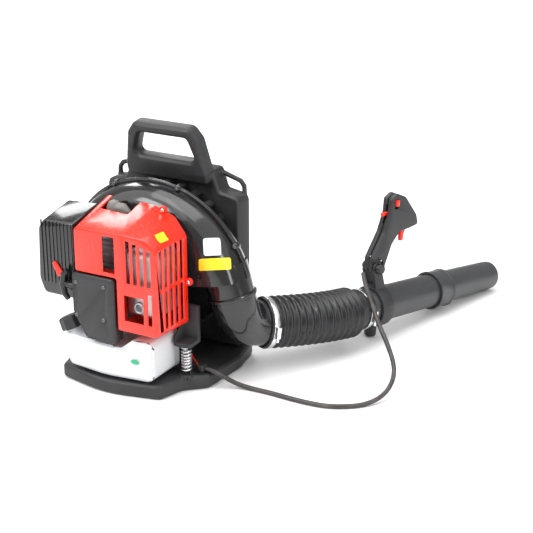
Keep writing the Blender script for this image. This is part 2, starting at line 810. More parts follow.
def build_rotor():
    """Crankshaft with its flywheel and fan wheel, on one axis."""
    axis = frame("crank_axis", (CRANK_X, 0, CRANK_Z))
    wheel_radius = SCROLL_START - HOUSING_WALL - IMPELLER_CLEARANCE
    front = HOUSING_FRONT + HOUSING_WALL + 22 * MM
    back = HOUSING_BACK - HOUSING_WALL - 20 * MM
    bore = SHAFT_RADIUS + SEAT_GAP
    hub = [(bore, front - 4 * MM), (18 * MM, front - 4 * MM), (22 * MM, front), (wheel_radius, front),
           (wheel_radius, front + 3 * MM), (26 * MM, front + 3 * MM), (15 * MM, back - 12 * MM),
           (bore, back - 12 * MM)]
    wheel = piece("impeller", turned(hub, 24, "Y", True), GREY_PLASTIC, axis)
    blades = []
    for index in range(IMPELLER_BLADES):
        start = 2 * math.pi * index / IMPELLER_BLADES
        outline = []
        for side in (-1, 1):
            steps = range(4) if side < 0 else range(3, -1, -1)
            for step in steps:
                radius = 40 * MM + (wheel_radius - 42 * MM) * step / 3
                angle = start + 0.75 * step / 3 + side * 1.2 * MM / radius
                outline.append((radius * math.cos(angle), radius * math.sin(angle)))
        blades.append(prism(outline, front + 1.5 * MM, back, "Y"))
    fuse(wheel, guide("impeller_blades", merged(blades), axis))
    shaft = SHAFT_RADIUS
    web = BORE_RADIUS + 8 * MM
    crank = [(shaft, STARTER_FRONT + STARTER_DEPTH - 4 * MM), (shaft, -68 * MM), (web, -68 * MM),
             (web, -48 * MM), (shaft, -48 * MM), (shaft, back - 4 * MM)]
    piece("crankshaft", turned(crank, 16, "Y"), BRIGHT_STEEL, axis)
    rim = FLYWHEEL_RADIUS
    low = CRANKCASE_FRONT - 18 * MM
    disc = [(bore, low), (14 * MM, low), (16 * MM, low + 6 * MM), (rim - 8 * MM, low + 6 * MM),
            (rim - 6 * MM, low), (rim, low), (rim, low + 14 * MM), (bore, low + 14 * MM)]
    piece("flywheel", turned(disc, 20, "Y", True), CAST_METAL, axis)


# ---------------------------------------------------------------- elbow and hose

def build_elbow():
    """Bend that turns the air from straight down to backwards."""
    down = Vector((math.sin(DUCT_LEAN), 0, -math.cos(DUCT_LEAN)))
    out = heading(ELBOW_END_YAW, ELBOW_END_DROP)
    start = DUCT_END + down * SEAT_GAP
    spigot = ELBOW_END - out * (ELBOW_CUFF + MM)
    points, aims = bezier(start, start + down * 52 * MM, spigot - out * 40 * MM, spigot, 8)
    points = points + [ELBOW_END]
    aims = aims + [out]
    grow = [DUCT_RADIUS + ELBOW_GROWTH * index / 8 for index in range(9)]
    outer = rings_along(points, aims, grow, 20)
    inner = rings_along(points, aims, [radius - HOUSING_WALL for radius in grow], 20)
    elbow = piece("outlet_elbow", loft(outer + inner[::-1], True), GLOSS_BLACK)
    low = [DUCT_RADIUS + 4 * MM] * 2
    ring = [start, start + down * 7 * MM]
    collar = rings_along(ring, [down] * 2, low, 20)
    collar += rings_along(ring, [down] * 2, [DUCT_RADIUS - 1 * MM] * 2, 20)[::-1]
    fuse(elbow, guide("elbow_collar", loft(collar, True)))


def hose_curve(count):
    """Centre line of the corrugated hose between the elbow and the tube."""
    out = heading(ELBOW_END_YAW, ELBOW_END_DROP)
    on = heading(PIPE_YAW, PIPE_DROP)
    start = ELBOW_END + out * 2 * MM
    return bezier(start, start + out * 66 * MM, PIPE_START - on * 66 * MM, PIPE_START - on * 2 * MM, count)


def hose_stretch(name, first, last, look, cuff_start=None, cuff_end=None):
    """Length of the hose between two of its ribs, with a smooth cuff at an end."""
    points, aims = hose_curve(2 * HOSE_RIBS + 1)
    gap = SEAT_GAP / 2
    chosen = list(range(2 * first, 2 * last + 1))
    spots = [points[i] for i in chosen]
    ways = [aims[i] for i in chosen]
    spots[0] = spots[0] + ways[0] * gap
    spots[-1] = spots[-1] - ways[-1] * gap
    radii = [HOSE_VALLEY + 1.5 * MM if i % 2 == 0 else HOSE_RIB for i in chosen]
    if cuff_start is not None:
        length, radius = cuff_start
        spots = [spots[0] - ways[0] * length, spots[0] - ways[0] * 1 * MM] + spots
        ways = [ways[0], ways[0]] + ways
        radii = [radius, radius] + radii
    if cuff_end is not None:
        length, radius = cuff_end
        spots = spots + [spots[-1] + ways[-1] * 1 * MM, spots[-1] + ways[-1] * length]
        ways = ways + [ways[-1], ways[-1]]
        radii = radii + [radius, radius]
    outer = rings_along(spots, ways, radii, HOSE_SIDES)
    bore = [min(radius - HOSE_WALL, HOSE_VALLEY + 1 * MM) for radius in radii]
    inner = rings_along(spots, ways, bore, HOSE_SIDES)
    piece(name, loft(outer + inner[::-1], True), look)


def elbow_cuff_radius():
    """Outside of the hose cuff on the elbow."""
    return around(DUCT_RADIUS + ELBOW_GROWTH + SEAT_GAP, HOSE_SIDES) + HOSE_WALL


def tube_cuff_radius():
    """Outside of the hose cuff on the swivel tube."""
    return around(PIPE_RADIUS + SEAT_GAP, HOSE_SIDES) + HOSE_WALL


def build_hose():
    """Corrugated hose in three stretches, so that it can bend between elbow and tube."""
    rear_cuff = (ELBOW_CUFF, elbow_cuff_radius())
    front_cuff = (CUFF_LENGTH, tube_cuff_radius())
    third = HOSE_RIBS // 3 + 1
    hose_stretch("hose_elbow_end", 0, third, BLACK_RUBBER, cuff_start=rear_cuff)
    hose_stretch("hose_middle", third, HOSE_RIBS - third, BLACK_RUBBER)
    hose_stretch("hose_tube_end", HOSE_RIBS - third, HOSE_RIBS, BLACK_RUBBER, cuff_end=front_cuff)


def build_hose_clamp(name, centre, along, inner, holder=None):
    """Worm-drive band clamp with its screw housing on the outer side."""
    spot = frame(name + "_frame", centre, along, holder=holder)
    inner = around(inner, BAND_SIDES)
    outer = inner + CLAMP_BAND
    half = CLAMP_WIDTH / 2
    band = turned([(outer, -half), (outer, half), (inner, half), (inner, -half)], BAND_SIDES, "Y", True)
    clamp = piece(name, band, BRIGHT_STEEL, spot)
    box = block((outer - 1 * MM, -half + MM, -14 * MM), (outer + 8 * MM, half - MM, 10 * MM))
    screw = prism(circle(3.4 * MM, 10, (outer + 4 * MM, 0)), -22 * MM, -13 * MM, "Z")
    for tool in (guide(name + "_box", box, spot), guide(name + "_screw", screw, spot)):
        fuse(clamp, tool)


# ---------------------------------------------------------------- tube

def build_tube():
    """Swivel tube, nozzle and the bracket that holds the control handle."""
    on = heading(PIPE_YAW, PIPE_DROP)
    axis = frame("tube_axis", PIPE_START, on)
    inner = PIPE_RADIUS - PIPE_WALL
    start = 6 * MM
    end = PIPE_LENGTH
    taper = 1.5 * MM
    pipe = [(PIPE_RADIUS, start), (PIPE_RADIUS, BRACKET_AT + BRACKET_WIDTH + 6 * MM),
            (PIPE_RADIUS - taper, end), (inner - taper, end), (inner, start)]
    piece("swivel_tube", turned(pipe, 24, "Y", True), GREY_PLASTIC, axis)
    build_hose_clamp("hose_clamp_tube", (0, 26 * MM, 0), (0, 1, 0), tube_cuff_radius() + SEAT_GAP, axis)
    build_nozzle(axis)
    build_bracket(axis)
    return axis


def build_nozzle(axis):
    """Tapered nozzle that twists onto the end of the tube."""
    start = PIPE_LENGTH - NOZZLE_OVERLAP
    end = start + NOZZLE_LENGTH
    bore = PIPE_RADIUS + RUN_GAP
    wall = PIPE_WALL
    tip = NOZZLE_TIP_RADIUS
    profile = [(bore + 4 * MM, start), (bore + 4 * MM, start + 6 * MM), (bore + wall, start + 8 * MM),
               (bore + wall, PIPE_LENGTH + 8 * MM), (bore + 3.4 * MM, PIPE_LENGTH + 9 * MM),
               (bore + 3.4 * MM, PIPE_LENGTH + 14 * MM), (PIPE_RADIUS - 2 * MM, PIPE_LENGTH + 18 * MM),
               (tip + 1.4 * MM, end - 14 * MM), (tip, end), (tip - wall, end),
               (tip + 1.4 * MM - wall, end - 14 * MM), (PIPE_RADIUS - 2 * MM - wall, PIPE_LENGTH + 18 * MM),
               (PIPE_RADIUS - 2 * MM - wall, PIPE_LENGTH + 2 * MM), (bore, PIPE_LENGTH + 1 * MM), (bore,
                                                                                                   start)]
    holder = frame("nozzle_axis", (0, start, 0), holder=axis)
    shifted = [(radius, height - start) for radius, height in profile]
    piece("nozzle", turned(shifted, 24, "Y", True), GREY_PLASTIC, holder)


def build_bracket(axis):
    """Clamp ring on the tube, with a fork above it and a clamping foot below."""
    low = BRACKET_AT
    high = BRACKET_AT + BRACKET_WIDTH
    bore = PIPE_RADIUS + RUN_GAP / 2
    outer = bore + BRACKET_WALL
    ring = turned([(outer, low), (outer, high), (bore, high), (bore, low)], 24, "Y", True)
    bracket = piece("handle_bracket", ring, BLACK_PLASTIC, axis)
    cheek_in = LUG_HALF_WIDTH + RUN_GAP
    cheek_out = cheek_in + FORK_CHEEK
    eye = 12 * MM
    fork = rounded([(low + 2 * MM, outer - 5 * MM, 0), (high - 2 * MM, outer - 5 * MM, 0),
                    (HANDLE_AT + eye, HANDLE_RISE - 2 * MM, 4 * MM), (HANDLE_AT + eye, HANDLE_RISE + eye,
                                                                      eye),
                    (HANDLE_AT - eye, HANDLE_RISE + eye, eye), (HANDLE_AT - eye, HANDLE_RISE - 6 * MM,
                                                                4 * MM)])
    for side in (-1, 1):
        near, far = sorted((side * cheek_in, side * cheek_out))
        fuse(bracket, guide("fork_cheek" + ("_left" if side < 0 else "_right"), prism(fork, near, far, "X"),
                            axis))
    bridge_top = outer + 5 * MM
    bridge = block((-cheek_out, low + 4 * MM, outer - 6 * MM), (cheek_out, high - 4 * MM, bridge_top))
    fuse(bracket, guide("fork_bridge", bridge, axis))
    foot = turned([(12 * MM, -PIPE_RADIUS - 28 * MM), (13 * MM, -PIPE_RADIUS - 24 * MM),
                   (13 * MM, -bore - 1 * MM)],
                  16, "Z")
    spot = frame("bracket_foot_frame", (0, BRACKET_AT + 14 * MM, 0), holder=axis)
    fuse(bracket, guide("bracket_foot", foot, spot))
    bolt_hole = circle(TILT_BOLT_RADIUS + RUN_GAP / 2, 12, (HANDLE_AT, HANDLE_RISE))
    cut(bracket, guide("bracket_bolt_hole", prism(bolt_hole, -cheek_out - MM, cheek_out + MM, "X"), axis))


# ---------------------------------------------------------------- control handle

def handle_outline():
    """Side view of the control handle, from its tilt bolt up to its head."""
    return rounded([
        (-13 * MM, -11 * MM, 10 * MM), (15 * MM, -13 * MM, 10 * MM), (26 * MM, -4 * MM, 8 * MM),
        (44 * MM, 45 * MM, 20 * MM), (66 * MM, 70 * MM, 4 * MM), (99 * MM, 74 * MM, 3 * MM),
        (126 * MM, 79 * MM, 6 * MM), (118 * MM, 102 * MM, 16 * MM), (78 * MM, 145 * MM, 18 * MM),
        (50 * MM, 156 * MM, 8 * MM), (31 * MM, 146 * MM, 8 * MM), (31 * MM, 116 * MM, 10 * MM),
        (18 * MM, 75 * MM, 20 * MM), (-13 * MM, 22 * MM, 8 * MM),
    ])


def build_handle(axis):
    """Control handle that tilts on the bracket, with its trigger, lever and switch."""
    tilt = frame("handle_tilt_axis", (0, HANDLE_AT, HANDLE_RISE), holder=axis)
    outline = handle_outline()
    for name, side in (("handle_shell_left", -1), ("handle_shell_right", 1)):
        near, far = sorted((side * SEAT_GAP / 2, side * HANDLE_HALF_WIDTH))
        shell = piece(name, prism(outline, near, far, "X"), BLACK_PLASTIC, tilt)
        bevel(shell, 4.5 * MM, 1, 60)
        hollow = offset(outline, -HANDLE_SHELL)
        near, far = sorted((-side * MM, side * (HANDLE_HALF_WIDTH - HANDLE_SHELL)))
        cavity = guide(name + "_cavity", prism(hollow, near, far, "X"), tilt)
        cut(cavity, guide(name + "_lug_mass", prism(circle(20 * MM, 16), -HANDLE_HALF_WIDTH,
                                                    HANDLE_HALF_WIDTH, "X"),
                          tilt))
        for tool in handle_openings(name, tilt):
            fuse(cavity, tool)
        cut(shell, cavity)
        near, far = sorted((side * LUG_HALF_WIDTH, side * (HANDLE_HALF_WIDTH + 4 * MM)))
        relief = prism(circle(21 * MM, 16), near, far, "X")
        cut(shell, guide(name + "_fork_relief", relief, tilt))
        bolt = prism(circle(TILT_BOLT_RADIUS + SEAT_GAP, 12), -30 * MM, 30 * MM, "X")
        cut(shell, guide(name + "_bolt_hole", bolt, tilt))
    build_tilt_bolt(tilt)
    build_trigger(tilt)
    build_cruise_lever(tilt)
    build_stop_switch(tilt)
    return tilt


def handle_openings(name, tilt):
    """Slots in the handle for the trigger, the cruise lever and the stop switch."""
    wide = TRIGGER_HALF_WIDTH + RUN_GAP
    mouth = [(58 * MM, 40 * MM), (78 * MM, 34 * MM), (110 * MM, 68 * MM), (104 * MM, 84 * MM),
             (66 * MM, 84 * MM)]
    yield guide(name + "_trigger_slot", prism(mouth, -wide, wide, "X"), tilt)
    thin = 2.6 * MM + RUN_GAP
    low = (-thin, 12 * MM, 92 * MM)
    yield guide(name + "_lever_slot", block(low, (thin, 44 * MM, 132 * MM)), tilt)
    a, b = SWITCH_SPOT
    reach = SWITCH_TRAVEL + RUN_GAP
    low = (HANDLE_HALF_WIDTH - 6 * MM, a - 5 * MM - RUN_GAP, b - 7 * MM - reach)
    high = (HANDLE_HALF_WIDTH + 2 * MM, a + 5 * MM + RUN_GAP, b + 7 * MM + RUN_GAP)
    yield guide(name + "_switch_slot", block(low, high), tilt)


def build_tilt_bolt(tilt):
    """Bolt and fluted knob that clamp the handle in the fork."""
    cheek = LUG_HALF_WIDTH + RUN_GAP + FORK_CHEEK + SEAT_GAP
    knob = 11 * MM
    profile = [(7 * MM, -cheek - 6 * MM), (7 * MM, -cheek), (TILT_BOLT_RADIUS, -cheek),
               (TILT_BOLT_RADIUS, cheek), (knob, cheek), (knob, cheek + 10 * MM), (knob - 3 * MM,
                                                                                   cheek + 13 * MM)]
    bolt = piece("tilt_bolt", turned(profile, 18, "X"), BLACK_PLASTIC, tilt)
    flutes = [prism(circle(2.4 * MM, 6, (knob * math.cos(a), knob * math.sin(a))), cheek + 1 * MM,
                    cheek + 16 * MM, "X")
              for a in (2 * math.pi * index / 6 for index in range(6))]
    cut(bolt, guide("tilt_bolt_flutes", merged(flutes), tilt))


def build_trigger(tilt):
    """Throttle trigger, hung inside the head of the handle."""
    pivot = frame("trigger_axis", (0, *TRIGGER_PIVOT), holder=tilt)
    outline = rounded([(-5 * MM, 5 * MM, 3 * MM), (5 * MM, 5 * MM, 3 * MM), (9 * MM, -8 * MM, 3 * MM),
                       (3 * MM, -20 * MM, 8 * MM), (2 * MM, -36 * MM, 2 * MM), (-7 * MM, -37 * MM, 2 * MM),
                       (-9 * MM, -22 * MM, 8 * MM)])
    half = TRIGGER_HALF_WIDTH
    trigger = piece("throttle_trigger", prism(outline, -half, half, "X"), BRIGHT_RED, pivot)
    bevel(trigger, 1.5 * MM, 1, 60)


def build_cruise_lever(tilt):
    """Cruise lever with a ball end behind the handle's head."""
    pivot = frame("cruise_axis", (0, *CRUISE_PIVOT), holder=tilt)
    arm = block((-2.6 * MM, -23 * MM, -3 * MM), (2.6 * MM, 5 * MM, 4 * MM))
    lever = piece("cruise_lever", arm, BRIGHT_RED, pivot)
    ball = bmesh.new()
    bmesh.ops.create_uvsphere(ball, u_segments=12, v_segments=8, radius=5 * MM,
                              matrix=Matrix.Translation((0, -25 * MM, 0)))
    fuse(lever, guide("cruise_ball", ball, pivot))


def build_stop_switch(tilt):
    """Engine stop switch that slides on the side of the head."""
    a, b = SWITCH_SPOT
    spot = frame("switch_seat", (HANDLE_HALF_WIDTH, a, b), holder=tilt)
    body = block((-5.5 * MM, -5 * MM, -7 * MM), (4 * MM, 5 * MM, 7 * MM))
    switch = piece("stop_switch", body, BRIGHT_RED, spot)
    bevel(switch, 1.2 * MM, 1, 60)


# ---------------------------------------------------------------- engine

def build_crankcase():
    """Crankcase barrel with a flange for the cylinder."""
    axis = frame("crankcase_axis", (CRANK_X, 0, CRANK_Z))
    barrel = [(CRANKCASE_RADIUS - 8 * MM, CRANKCASE_FRONT), (CRANKCASE_RADIUS, CRANKCASE_FRONT + 8 * MM),
              (CRANKCASE_RADIUS, CRANKCASE_BACK - 6 * MM), (CRANKCASE_RADIUS - 6 * MM, CRANKCASE_BACK)]
    case = piece("crankcase", turned(barrel, 24, "Y"), CAST_METAL, axis)
    half = CYLINDER_FIN_HALF - 5 * MM
    top = CRANKCASE_RADIUS + 2 * MM
    flange = block((-half, CYLINDER_Y - half, 0), (half, CYLINDER_Y + half, top))
    fuse(case, guide("cylinder_flange", flange, axis))
    cavity = [(CRANKCASE_RADIUS - 8 * MM, CRANKCASE_FRONT + 12 * MM),
              (CRANKCASE_RADIUS - 8 * MM, CRANKCASE_BACK - 12 * MM)]
    cut(case, guide("crank_chamber", turned(cavity, 24, "Y"), axis))
    hole = prism(circle(SHAFT_RADIUS + RUN_GAP, 16), CRANKCASE_FRONT - MM, CRANKCASE_BACK + MM, "Y")
    cut(case, guide("crank_bearing_holes", hole, axis))
    throat = prism(circle(BORE_RADIUS, 20, (0, CYLINDER_Y)), 0, top + MM, "Z")
    cut(case, guide("cylinder_throat", throat, axis))


def build_cylinder():
    """Finned cylinder with its bore open to the crankcase, and the piston in it."""
    axis = frame("cylinder_axis", (CRANK_X, CYLINDER_Y, 0))
    low = CRANK_Z + CRANKCASE_RADIUS + 2 * MM + SEAT_GAP
    core = CYLINDER_FIN_HALF - 8 * MM
    pitch = (CYLINDER_TOP - low - 14 * MM) / CYLINDER_FINS

    def square(half, height):
        corner = 0.25 * half
        outline = rounded([(half, half, corner), (-half, half, corner), (-half, -half, corner),
                           (half, -half, corner)], 1)
        return [lift(point, height, "Z") for point in outline]

    rings = [square(CYLINDER_FIN_HALF - 5 * MM, low), square(CYLINDER_FIN_HALF - 5 * MM, low + 5 * MM),
             square(core, low + 5 * MM)]
    for index in range(CYLINDER_FINS):
        height = low + 12 * MM + pitch * index
        rings += [square(core, height), square(CYLINDER_FIN_HALF, height),
                  square(CYLINDER_FIN_HALF, height + 2 * MM), square(core, height + 2 * MM)]
    cylinder = piece("cylinder", loft(rings), CAST_METAL, axis)
    bore = prism(circle(BORE_RADIUS, 20), low - MM, CYLINDER_TOP - 28 * MM, "Z")
    plug_hole = prism(circle(5.5 * MM, 12), CYLINDER_TOP - 40 * MM, CYLINDER_TOP + MM, "Z")
    cut(cylinder, guide("cylinder_bore", bore, axis), guide("plug_thread_hole", plug_hole, axis))
    crown = CYLINDER_TOP - 56 * MM
    fit = BORE_RADIUS - SEAT_GAP - 0.2 * MM
    skirt = [(fit, crown - 30 * MM), (fit, crown), (fit - 2 * MM, crown + 2 * MM)]
    piston = piece("piston", turned(skirt, 20, "Z"), CAST_METAL, axis)
    cut(piston, guide("piston_hollow", prism(circle(fit - 3 * MM, 16), crown - 40 * MM, crown - 4 * MM),
                      axis))
    build_plug(axis)


def build_plug(axis):
    """Spark plug in the cylinder head and the rubber boot over it."""
    seat = CYLINDER_TOP - 2 * MM
    profile = [(5 * MM, seat - 18 * MM), (5 * MM, seat + 2.4 * MM), (9 * MM, seat + 2.4 * MM),
               (9 * MM, seat + 9 * MM), (5 * MM, seat + 9 * MM), (5 * MM, seat + 19 * MM),
               (3 * MM, seat + 20 * MM), (3 * MM, seat + 25 * MM)]
    piece("spark_plug", turned(profile, 12, "Z"), CERAMIC_WHITE, axis)
    low = seat + 12 * MM
    boot = piece("plug_boot", turned([(8 * MM, low), (13 * MM, low + 4 * MM), (14 * MM, low + 22 * MM),
                                      (10 * MM, low + 32 * MM), (4 * MM, low + 35 * MM)], 16, "Z"),
                 GREY_PLASTIC, axis)
    points = [Vector((0, 0, low + 20 * MM)), Vector((22 * MM, 0, low + 21 * MM)),
              Vector((36 * MM, 0, low + 14 * MM))]
    aims = [Vector((1, 0, 0)), Vector((1, 0, -0.2)).normalized(), Vector((0.8, 0, -0.6)).normalized()]
    arm = loft(rings_along(points, aims, [11 * MM, 11 * MM, 5 * MM], 12))
    fuse(boot, guide("plug_boot_arm", arm, axis))
    clear = [(5.4 * MM, low - MM), (5.4 * MM, seat + 20 * MM), (3.5 * MM, seat + 21 * MM),
             (3.5 * MM, seat + 26 * MM)]
    cut(boot, guide("plug_boot_socket", turned(clear, 12, "Z"), axis))


def build_muffler():
    """Silencer box on the exhaust side, with a round outlet facing the front."""
    low = (46 * MM, -126 * MM, 168 * MM)
    high = (COVER_RIGHT - COVER_WALL - 9 * MM, -44 * MM, 300 * MM)
    muffler = piece("muffler", block(low, high), CAST_METAL)
    bevel(muffler, 9 * MM, 1, 60)
    spot = ((low[0] + high[0]) / 2, 192 * MM)
    pipe = prism(circle(11 * MM, 16, spot), low[1] - 8 * MM, low[1] + 10 * MM, "Y")
    fuse(muffler, guide("muffler_outlet", pipe))
    cut(muffler, guide("muffler_outlet_bore", prism(circle(8 * MM, 16, spot), low[1] - 9 * MM,
                                                    low[1] + 6 * MM, "Y")))
    exhaust = block((CRANK_X + CYLINDER_FIN_HALF + SEAT_GAP, CYLINDER_Y - 15 * MM, 246 * MM),
                    (low[0] + 6 * MM, CYLINDER_Y + 15 * MM, 276 * MM))
    fuse(muffler, guide("muffler_port", exhaust))


def cover_outline(top, roof, low, spread):
    """Front view of the engine cover at one depth; the starter sits under its left part."""
    step = STARTER_TOP + 3 * MM
    inner = STARTER_RIGHT + 4 * MM
    return rounded([
        (COVER_LEFT, step, 4 * MM), (COVER_LEFT, top + roof, 10 * MM), (60 * MM, top + 0.8 * roof + 2 * MM,
                                                                        40 * MM),
        (COVER_RIGHT - 26 * MM, top + 0.4 * roof, 22 * MM), (COVER_RIGHT + spread, top - 20 * MM, 22 * MM),
        (COVER_RIGHT + spread, low, 8 * MM), (inner, low, 5 * MM), (inner, step, 4 * MM),
    ], 3)


def build_engine_cover():
    """Moulded engine cover with cooling slots, open to the fan housing behind it."""
    front = cover_outline(COVER_TOP, 0, COVER_LOW, 0)
    back = cover_outline(COVER_TOP, COVER_ROOF_RISE, COVER_LOW - 8 * MM, 0)
    cover = piece("engine_cover", open_shell(front, back, COVER_FRONT, COVER_BACK, COVER_WALL), RED_PLASTIC)
    ears = [prism(circle(8 * MM, 12, spot), COVER_BACK - 8 * MM, COVER_BACK - MM,
                  "Y") for spot in ear_spots()]
    fuse(cover, guide("cover_ears", merged(ears)))
    left = block((COVER_LEFT - 5 * MM, COVER_FRONT + 12 * MM, STARTER_TOP + 8 * MM),
                 (COVER_LEFT + 6 * MM, COVER_BACK - 8 * MM, COVER_TOP - 12 * MM))
    cut(cover, guide("cover_intake_side", left))
    behind = STARTER_FRONT + STARTER_DEPTH + 6 * MM
    inner = block((COVER_LEFT - 5 * MM, behind, COVER_LOW + 12 * MM),
                  (STARTER_RIGHT + 4 * MM + COVER_WALL + MM, COVER_BACK + MM,
                   STARTER_TOP + 4 * MM + COVER_WALL))
    cut(cover, guide("cover_cylinder_side", inner))
    notch = rounded([(CRANK_X - 18 * MM, COVER_TOP + 4 * MM, 0), (CRANK_X - 18 * MM, COVER_TOP + 60 * MM, 0),
                     (CRANK_X + 46 * MM, COVER_TOP + 60 * MM, 0), (CRANK_X + 46 * MM, COVER_TOP + 4 * MM,
                                                                   0)])
    boot_clearance = prism(notch, CYLINDER_Y - 20 * MM, COVER_BACK + MM, "Y")
    cut(cover, guide("cover_roof_opening", boot_clearance))
    cut(cover, guide("cover_front_windows", merged(front_windows())))
    cut(cover, guide("cover_side_slots", merged(side_slots())))


def ear_spots():
    """Places of the engine cover's screw ears, as (x, z)."""
    return [(COVER_RIGHT + 5.5 * MM, 225 * MM), (82 * MM, COVER_TOP + 24 * MM)]


def front_windows():
    """Openings in the front face of the engine cover."""
    low = COVER_FRONT - 5 * MM
    high = COVER_FRONT + 8 * MM
    shapes = [block((11 * MM, low, STARTER_TOP + 12 * MM), (STARTER_RIGHT + 2 * MM, high,
                                                            COVER_TOP - 8 * MM))]
    for index in range(4):
        x = 64 * MM + 15.5 * MM * index
        shapes.append(block((x, low, 243 * MM), (x + 8.5 * MM, high, COVER_TOP - 10 * MM - 4 * MM * index)))
    shapes.append(block((57 * MM, low, 166 * MM), (101 * MM, high, 218 * MM)))
    shapes.append(block((111 * MM, low, 166 * MM), (120 * MM, high, 229 * MM)))
    return shapes


def side_slots():
    """Upright slots in the side of the engine cover, above and below a band."""
    shapes = []
    low = COVER_RIGHT - 12 * MM
    high = COVER_RIGHT + 5 * MM
    for index in range(5):
        y = COVER_FRONT + 14 * MM + 18 * MM * index
        for bottom, top in ((152 * MM, 228 * MM), (236 * MM, COVER_TOP - 24 * MM)):
            shapes.append(block((low, y, bottom), (high, y + 8.5 * MM, top)))
    return shapes


def build_starter():
    """Recoil starter: cover, rope pulley and pull handle."""
    outline = rounded([
        (STARTER_LEFT, STARTER_TOP, 8 * MM), (STARTER_RIGHT, STARTER_TOP, 8 * MM),
        (STARTER_RIGHT, STARTER_LOW, 8 * MM), (STARTER_LEFT + 30 * MM, STARTER_LOW, 8 * MM),
        (STARTER_LEFT, STARTER_LOW + 52 * MM, 10 * MM),
    ])
    back = STARTER_FRONT + STARTER_DEPTH
    housing = piece("starter_cover", prism(outline, STARTER_FRONT, back, "Y"), BLACK_PLASTIC)
    bevel(housing, 4 * MM, 1, 60)
    cut(housing, guide("starter_hollow", prism(offset(outline, -3.5 * MM), STARTER_FRONT + 3.5 * MM,
                                               back + MM, "Y")))
    holes = [prism(circle(3.4 * MM, 10, spot), STARTER_FRONT - MM, STARTER_FRONT + 2.4 * MM, "Y")
             for spot in starter_screw_spots()]
    cut(housing, guide("starter_screw_holes", merged(holes)))
    mouth = prism(circle(4 * MM, 12, (STARTER_FRONT + 12 * MM, 212 * MM)), STARTER_LEFT - 5 * MM,
                  STARTER_LEFT + 8 * MM, "X")
    cut(housing, guide("rope_mouth", mouth))
    post = turned([(4 * MM, STARTER_FRONT + 2 * MM), (4 * MM, STARTER_FRONT + 18 * MM)], 12, "Y")
    axis = frame("starter_axis", (CRANK_X, 0, CRANK_Z))
    fuse(housing, guide("starter_post", post, axis))
    low = STARTER_FRONT + 6 * MM
    bore = 4 * MM + RUN_GAP
    groove = PULLEY_RADIUS - 6 * MM
    wheel = [(bore, low), (PULLEY_RADIUS, low), (PULLEY_RADIUS, low + 2 * MM), (groove, low + 4 * MM),
             (groove, low + 8 * MM), (PULLEY_RADIUS, low + 10 * MM), (PULLEY_RADIUS, low + 12 * MM),
             (bore, low + 12 * MM)]
    piece("starter_pulley", turned(wheel, 24, "Y", True), GREY_PLASTIC, axis)
    build_pull_handle()


def starter_screw_spots():
    """Places of the four screws in the starter cover, as (x, z)."""
    left = STARTER_LEFT + 10 * MM
    right = STARTER_RIGHT - 22 * MM
    return [(left, STARTER_TOP - 17 * MM), (right, STARTER_TOP - 17 * MM),
            (left + 1 * MM, STARTER_TOP - 88 * MM), (right, STARTER_TOP - 88 * MM)]


def build_pull_handle():
    """Bowed pull handle on the end of the starter rope."""
    seat = frame("pull_handle_seat", (STARTER_LEFT - SEAT_GAP, STARTER_FRONT + 12 * MM, 212 * MM))
    stem = turned([(6 * MM, 0), (6 * MM, -16 * MM), (4.5 * MM, -24 * MM)], 12, "X")
    grip = piece("starter_pull_handle", stem, BLACK_PLASTIC, seat)
    bow = [Vector((-16 * MM, 0, -30 * MM)), Vector((-25 * MM, 0, -20 * MM)), Vector((-29 * MM, 0, 0)),
           Vector((-25 * MM, 0, 20 * MM)), Vector((-16 * MM, 0, 30 * MM))]
    aims = [(b - a).normalized() for a, b in zip([bow[0]] + bow, bow[1:] + [bow[-1]])]
    aims[1:4] = [(bow[i + 1] - bow[i - 1]).normalized() for i in (1, 2, 3)]
    bar = loft(rings_along(bow, aims, [5 * MM, 6.5 * MM, 7 * MM, 6.5 * MM, 5 * MM], 10))
    fuse(grip, guide("pull_handle_bar", bar, seat))


# ---------------------------------------------------------------- intake

